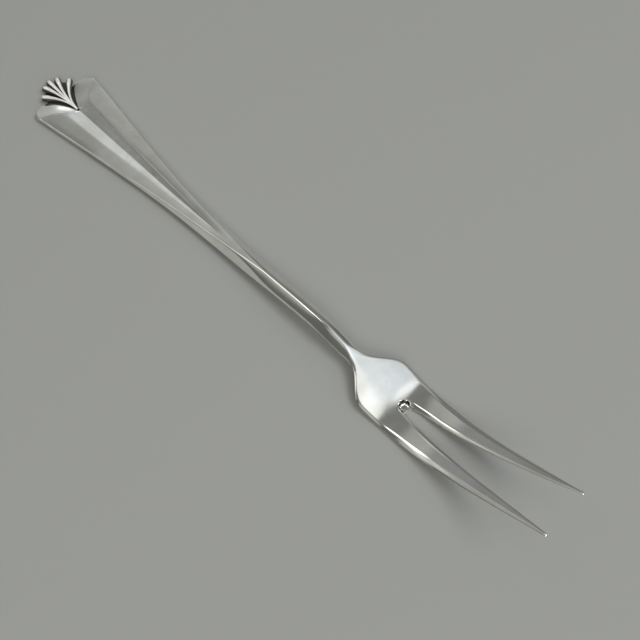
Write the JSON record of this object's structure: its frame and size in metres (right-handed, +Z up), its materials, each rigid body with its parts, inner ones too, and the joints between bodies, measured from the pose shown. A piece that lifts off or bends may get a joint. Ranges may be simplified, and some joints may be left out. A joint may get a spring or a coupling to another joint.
{
  "type": "butter fork",
  "caption": "Small silver serving fork with long curved tines on a spade-shaped plate, a ridged stem and a flared, lobed handle that ends in a ribbed shell.",
  "frame": {"origin": "on the table, under the middle of the fork's length and width", "axes": "+X along the fork towards the tines, +Z up out of its front, +Y to its left side"},
  "size_m": [0.15, 0.0166, 0.0163],
  "materials": {
    "polished_silver": "polished silver with fine scratches",
    "oxidised_silver": "cast silver, polished ribs and dark oxidised grooves"
  },
  "bodies": {
    "root": {"handle": "polished_silver", "fork_head": "polished_silver", "shell_finial": "oxidised_silver"}
  },
  "joints": []
}
